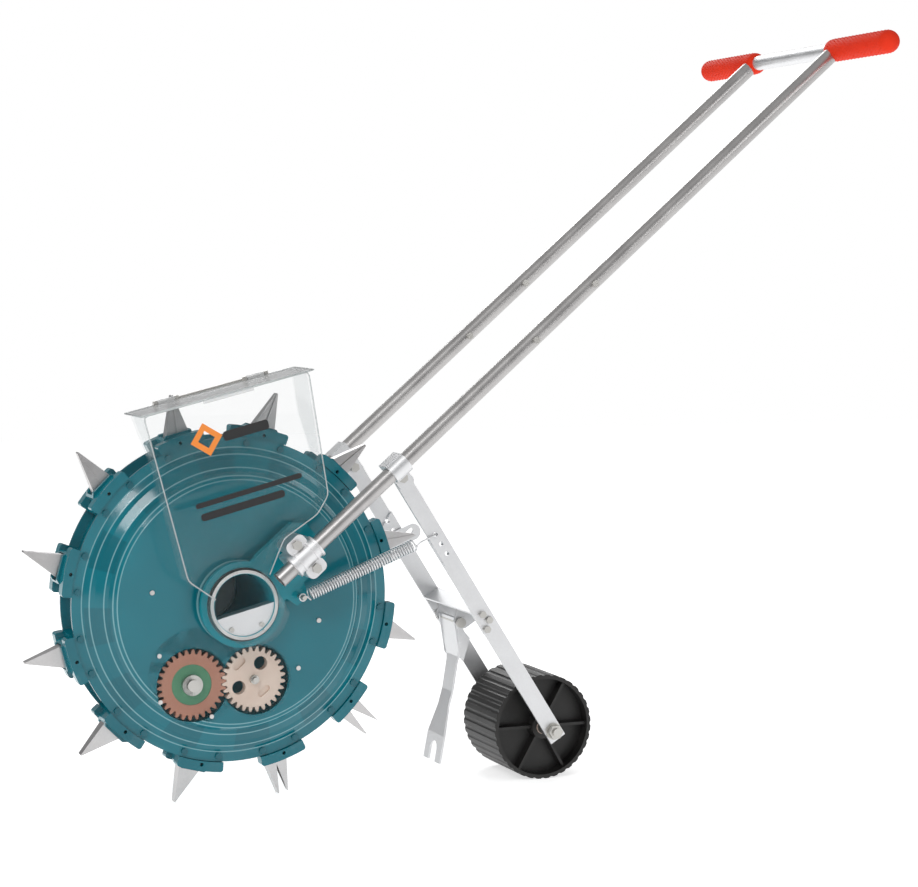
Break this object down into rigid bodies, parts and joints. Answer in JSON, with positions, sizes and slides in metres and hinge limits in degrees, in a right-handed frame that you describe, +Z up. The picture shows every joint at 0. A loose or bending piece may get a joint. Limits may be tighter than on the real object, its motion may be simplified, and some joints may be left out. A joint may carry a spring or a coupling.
{
  "type": "Hand-pushed rolling bill seeder",
  "caption": "Hand-pushed seeder with a spiked teal planting drum, clear seed box, sprung press wheel and red-gripped handle.",
  "frame": {"origin": "on the ground, at the middle of the overall length and width", "axes": "+X rearwards to the handle, +Y to the machine's right, +Z up; it travels towards -X"},
  "size_m": [1.1798, 0.54, 1.0597],
  "materials": {
    "galvanised_tube": "zinc-plated steel tube, softly reflective",
    "zinc_bolts": "zinc-plated hardware",
    "red_grip": "ribbed soft rubber grips",
    "cast_aluminium": "bead-blasted cast aluminium",
    "plate_steel": "bare plated sheet steel with fine brushing",
    "black_plastic": "matte black moulded nylon",
    "teal_plastic": "translucent teal moulding, glossy",
    "clear_plastic": "clear moulded polycarbonate",
    "ivory_plastic": "ivory acetal moulding",
    "brown_plastic": "reddish brown acetal moulding",
    "green_plastic": "green ring, matte"
  },
  "bodies": {
    "frame": {"handle_tube_left": "galvanised_tube", "handle_tube_right": "galvanised_tube", "handle_upper_left": "galvanised_tube", "handle_upper_right": "galvanised_tube", "handle_bolts": "zinc_bolts", "handle_crossbar": "galvanised_tube", "grip_left": "red_grip", "grip_right": "red_grip", "hub_tube": "cast_aluminium", "hub_seed_plate": "plate_steel", "hub_end_cap": "black_plastic", "hub_screws": "zinc_bolts", "sun_gear": "black_plastic", "hub_arm_left": "teal_plastic", "hub_arm_right": "teal_plastic", "handle_saddles": "cast_aluminium", "clamp_caps": "cast_aluminium", "hopper": "clear_plastic", "lid_pin": "zinc_bolts", "bar_brackets": "plate_steel", "frame_bolts": "zinc_bolts", "stay_strap": "plate_steel", "tension_spring": "zinc_bolts"},
    "drum": {"drum_shell_left": "teal_plastic", "drum_shell_right": "teal_plastic", "rim_band": "black_plastic", "bill_holders": "teal_plastic", "fixed_jaws": "plate_steel", "jaw_pins": "zinc_bolts", "drum_bushes": "black_plastic", "drum_screws": "zinc_bolts", "metering_cover": "clear_plastic", "gear_pins": "zinc_bolts"},
    "movable_jaw_01": {"movable_jaw_01": "plate_steel"},
    "movable_jaw_02": {"movable_jaw_02": "plate_steel"},
    "movable_jaw_03": {"movable_jaw_03": "plate_steel"},
    "movable_jaw_04": {"movable_jaw_04": "plate_steel"},
    "movable_jaw_05": {"movable_jaw_05": "plate_steel"},
    "movable_jaw_06": {"movable_jaw_06": "plate_steel"},
    "movable_jaw_07": {"movable_jaw_07": "plate_steel"},
    "movable_jaw_08": {"movable_jaw_08": "plate_steel"},
    "movable_jaw_09": {"movable_jaw_09": "plate_steel"},
    "movable_jaw_10": {"movable_jaw_10": "plate_steel"},
    "movable_jaw_11": {"movable_jaw_11": "plate_steel"},
    "movable_jaw_12": {"movable_jaw_12": "plate_steel"},
    "idler": {"idler_gear": "ivory_plastic"},
    "roller": {"seed_roller": "brown_plastic", "roller_felt": "green_plastic"},
    "lid": {"hopper_lid": "clear_plastic"},
    "rear_arm": {"upper_bar_left": "plate_steel", "upper_bar_right": "plate_steel", "lower_bar_left": "plate_steel", "lower_bar_right": "plate_steel", "cross_bracket": "plate_steel", "bracket_bolts": "zinc_bolts", "rear_axle": "zinc_bolts", "axle_nuts": "zinc_bolts"},
    "wheel": {"press_wheel": "black_plastic", "wheel_bushes": "ivory_plastic"},
    "coverer": {"soil_coverer": "plate_steel"}
  },
  "joints": [
    {"name": "drum_spin", "type": "hinge", "parent": "frame", "child": "drum", "pos_m": [-0.31228, 0, 0.27758], "axis": [0, -1, 0], "continuous": true},
    {"name": "jaw_01_hinge", "type": "hinge", "parent": "drum", "child": "movable_jaw_01", "pos_m": [-0.35725, 0, 0.05566], "axis": [0, -1, 0], "range_deg": [0, 25], "stiffness_Nm_per_rad": 0.3, "springref_deg": -17.19},
    {"name": "jaw_02_hinge", "type": "hinge", "parent": "drum", "child": "movable_jaw_02", "pos_m": [-0.24027, 0, 0.06291], "axis": [0, -1, 0], "range_deg": [-12, 13], "stiffness_Nm_per_rad": 0.3},
    {"name": "jaw_03_hinge", "type": "hinge", "parent": "drum", "child": "movable_jaw_03", "pos_m": [-0.14258, 0, 0.12768], "axis": [0, -1, 0], "range_deg": [-22, 3], "stiffness_Nm_per_rad": 0.3},
    {"name": "jaw_04_hinge", "type": "hinge", "parent": "drum", "child": "movable_jaw_04", "pos_m": [-0.09036, 0, 0.23261], "axis": [0, -1, 0], "range_deg": [0, 25], "stiffness_Nm_per_rad": 0.3, "springref_deg": -17.19},
    {"name": "jaw_05_hinge", "type": "hinge", "parent": "drum", "child": "movable_jaw_05", "pos_m": [-0.09761, 0, 0.3496], "axis": [0, -1, 0], "range_deg": [0, 25], "stiffness_Nm_per_rad": 0.3, "springref_deg": -17.19},
    {"name": "jaw_06_hinge", "type": "hinge", "parent": "drum", "child": "movable_jaw_06", "pos_m": [-0.16238, 0, 0.44729], "axis": [0, -1, 0], "range_deg": [0, 25], "stiffness_Nm_per_rad": 0.3, "springref_deg": -17.19},
    {"name": "jaw_07_hinge", "type": "hinge", "parent": "drum", "child": "movable_jaw_07", "pos_m": [-0.26731, 0, 0.49951], "axis": [0, -1, 0], "range_deg": [0, 25], "stiffness_Nm_per_rad": 0.3, "springref_deg": -17.19},
    {"name": "jaw_08_hinge", "type": "hinge", "parent": "drum", "child": "movable_jaw_08", "pos_m": [-0.3843, 0, 0.49226], "axis": [0, -1, 0], "range_deg": [0, 25], "stiffness_Nm_per_rad": 0.3, "springref_deg": -17.19},
    {"name": "jaw_09_hinge", "type": "hinge", "parent": "drum", "child": "movable_jaw_09", "pos_m": [-0.48199, 0, 0.42749], "axis": [0, -1, 0], "range_deg": [0, 25], "stiffness_Nm_per_rad": 0.3, "springref_deg": -17.19},
    {"name": "jaw_10_hinge", "type": "hinge", "parent": "drum", "child": "movable_jaw_10", "pos_m": [-0.53421, 0, 0.32255], "axis": [0, -1, 0], "range_deg": [0, 25], "stiffness_Nm_per_rad": 0.3, "springref_deg": -17.19},
    {"name": "jaw_11_hinge", "type": "hinge", "parent": "drum", "child": "movable_jaw_11", "pos_m": [-0.52696, 0, 0.20557], "axis": [0, -1, 0], "range_deg": [0, 25], "stiffness_Nm_per_rad": 0.3, "springref_deg": -17.19},
    {"name": "jaw_12_hinge", "type": "hinge", "parent": "drum", "child": "movable_jaw_12", "pos_m": [-0.46219, 0, 0.10788], "axis": [0, -1, 0], "range_deg": [0, 25], "stiffness_Nm_per_rad": 0.3, "springref_deg": -17.19},
    {"name": "idler_spin", "type": "hinge", "parent": "drum", "child": "idler", "pos_m": [-0.2884, -0.048, 0.17072], "axis": [0, -1, 0], "continuous": true},
    {"name": "roller_spin", "type": "hinge", "parent": "drum", "child": "roller", "pos_m": [-0.37537, -0.048, 0.16851], "axis": [0, -1, 0], "continuous": true},
    {"name": "lid_hinge", "type": "hinge", "parent": "frame", "child": "lid", "pos_m": [-0.45865, -0.054, 0.53716], "axis": [-0.9702, 0, -0.2424], "range_deg": [0, 110]},
    {"name": "rear_arm_swing", "type": "hinge", "parent": "frame", "child": "rear_arm", "pos_m": [-0.09068, 0, 0.44158], "axis": [0, -1, 0], "range_deg": [0, 10], "stiffness_Nm_per_rad": 60, "springref_deg": -22.92, "deforming": ["tension_spring"]},
    {"name": "wheel_spin", "type": "hinge", "parent": "rear_arm", "child": "wheel", "pos_m": [0.14142, 0, 0.075], "axis": [0, -1, 0], "continuous": true},
    {"name": "coverer_pivot", "type": "hinge", "parent": "rear_arm", "child": "coverer", "pos_m": [0.02165, 0, 0.22864], "axis": [0, -1, 0], "range_deg": [-10, 15]}
  ],
  "couplings": [
    {"joint": "idler_spin", "follows": "drum_spin", "ratio": 1.6071},
    {"joint": "roller_spin", "follows": "drum_spin", "ratio": -1.5}
  ]
}
